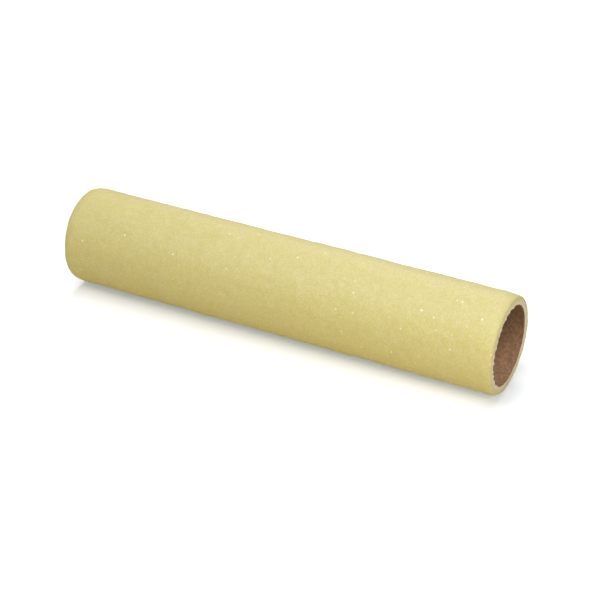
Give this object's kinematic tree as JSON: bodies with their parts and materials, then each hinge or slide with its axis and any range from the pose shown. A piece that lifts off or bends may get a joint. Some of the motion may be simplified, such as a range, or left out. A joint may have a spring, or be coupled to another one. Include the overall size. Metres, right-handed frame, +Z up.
{
  "type": "paint roller cover",
  "caption": "Foam paint-roller cover: pale yellow open-cell foam sleeve with soft-edged ends, bonded over a spiral-wound brown resin-paper core with an open bore.",
  "frame": {"origin": "on the bore's axis, halfway along the cover", "axes": "+Y along the bore's axis, about which the cover spins on its frame; +Z up as it lies on a table; both ends are alike"},
  "size_m": [0.048, 0.2286, 0.048],
  "materials": {
    "foam": "matte",
    "adhesive": "satin",
    "resin_paper": "matte"
  },
  "bodies": {
    "root": {"foam_sleeve": "foam", "adhesive_film": "adhesive", "outer_ply": "resin_paper", "middle_ply": "resin_paper", "inner_ply": "resin_paper"}
  },
  "joints": []
}
